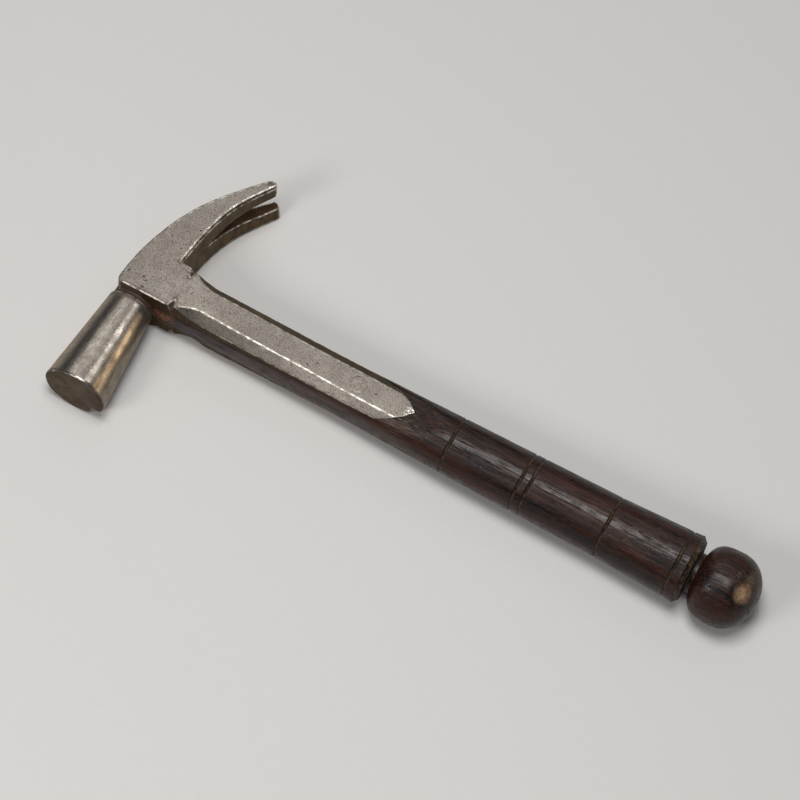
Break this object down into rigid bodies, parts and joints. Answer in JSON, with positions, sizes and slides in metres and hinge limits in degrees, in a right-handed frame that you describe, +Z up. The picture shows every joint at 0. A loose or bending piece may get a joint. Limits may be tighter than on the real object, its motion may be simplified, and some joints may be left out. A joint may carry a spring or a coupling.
{
  "type": "tack hammer",
  "caption": "Small strapped claw hammer: round tapering poll, curved nail claw and two long riveted straps on a turned hardwood handle with a ball end.",
  "frame": {"origin": "centre of the hammer's box in plan, at the height of the surface it lies on", "axes": "+X along the handle from head to ball end, +Y out along the claw (the striking face looks to -Y), +Z up out of the top cheek"},
  "size_m": [0.2384, 0.0976, 0.026],
  "materials": {
    "steel": "worn forged steel, pitted and hand polished",
    "wood": "dark rosewood, worn varnish",
    "iron": "dark rusted wrought iron",
    "rivet": "dressed flush with the straps"
  },
  "bodies": {
    "root": {"head": "steel", "handle": "wood", "wedge": "iron", "rivet_1": "rivet", "rivet_2": "rivet", "rivet_3": "rivet"}
  },
  "joints": []
}
